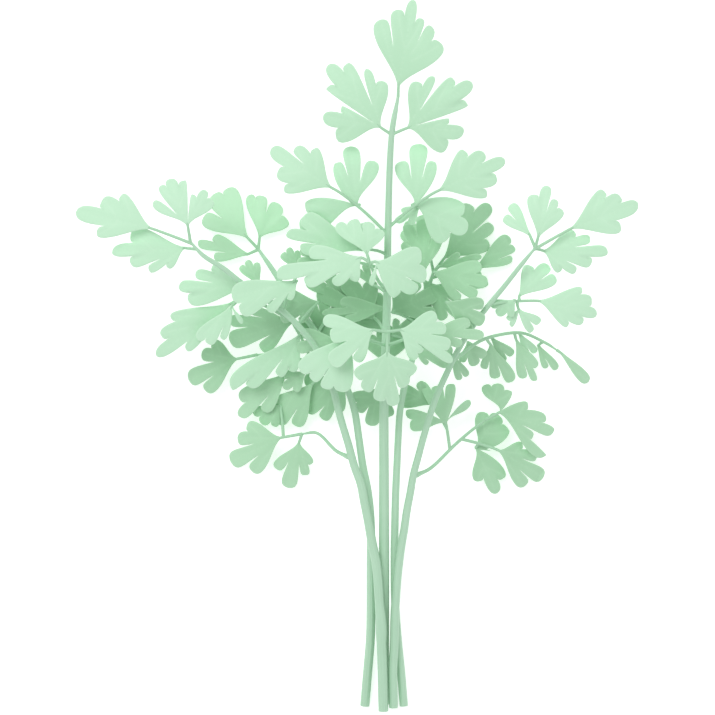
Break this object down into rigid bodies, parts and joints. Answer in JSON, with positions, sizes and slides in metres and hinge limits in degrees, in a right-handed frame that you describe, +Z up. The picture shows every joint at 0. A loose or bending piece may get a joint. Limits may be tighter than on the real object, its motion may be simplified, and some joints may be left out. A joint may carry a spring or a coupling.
{
  "type": "chervil bunch",
  "caption": "Lying bunch of fresh chervil: thin cut stems gathered at one end, fanning out into finely lobed pale green leaflets at the other.",
  "frame": {"origin": "bottom centre of the whole bunch's box, on the surface it lies on", "axes": "+Y along the stems from the cut ends to the crown leaflet, +X to the right seen from above, +Z up from the surface"},
  "size_m": [0.1686, 0.2138, 0.0475],
  "materials": {
    "stem": "satin, finely ribbed along its length",
    "rachis": "satin",
    "leaf_front": "soft satin, pale at the edges",
    "leaf_back": "soft satin, a little deeper green"
  },
  "bodies": {
    "root": {"crown_leaflet": "leaf_front", "front_far_left_leaflet": "leaf_front", "front_left_leaflet": "leaf_front", "front_right_leaflet": "leaf_front", "front_terminal": "leaf_front", "front_top_leaflet": "leaf_front", "front_under_leaflet": "leaf_front", "front_upper_left_leaflet": "leaf_front", "front_upper_right_leaflet": "leaf_front", "left_back_lower_leaflet": "leaf_back", "left_back_terminal": "leaf_back", "left_back_upper_leaflet": "leaf_back", "left_low_leaflet": "leaf_front", "left_low_terminal": "leaf_front", "left_lower_front_leaflet": "leaf_front", "left_lower_leaflet": "leaf_front", "left_lower_middle_leaflet": "leaf_back", "left_lower_terminal": "leaf_back", "left_lower_under_leaflet": "leaf_back", "left_middle_lower_leaflet": "leaf_front", "left_middle_terminal": "leaf_front", "left_middle_upper_leaflet": "leaf_front", "left_terminal": "leaf_front", "left_upper_leaflet": "leaf_front", "rachis_front": "rachis", "rachis_front_upper": "rachis", "rachis_left_low": "rachis", "rachis_left_lower": "rachis", "rachis_left_middle": "rachis", "rachis_right_low": "rachis", "rachis_right_lower": "rachis", "right_back_left_leaflet": "leaf_back", "right_back_lower_leaflet": "leaf_back", "right_back_right_leaflet": "leaf_back", "right_back_terminal": "leaf_back", "right_left_leaflet": "leaf_front", "right_low_outer_leaflet": "leaf_front", "right_low_pair": "leaf_front", "right_low_terminal": "leaf_front", "right_low_upper_leaflet": "leaf_back", "right_lower_inner_leaflet": "leaf_back", "right_lower_leaflet": "leaf_front", "right_lower_middle_leaflet": "leaf_back", "right_lower_terminal": "leaf_back", "right_middle_lower_leaflet": "leaf_front", "right_middle_terminal": "leaf_front", "right_middle_upper_leaflet": "leaf_front", "right_terminal": "leaf_front", "right_upper_leaflet": "leaf_front", "shoulder_left_pair": "leaf_front", "shoulder_left_terminal": "leaf_front", "shoulder_right_pair": "leaf_front", "shoulder_right_terminal": "leaf_front", "stem_left_back": "stem", "stem_left_front": "stem", "stem_middle": "stem", "stem_right_back": "stem", "stem_right_front": "stem", "upper_left_leaflet": "leaf_front", "upper_right_leaflet": "leaf_front"}
  },
  "joints": []
}
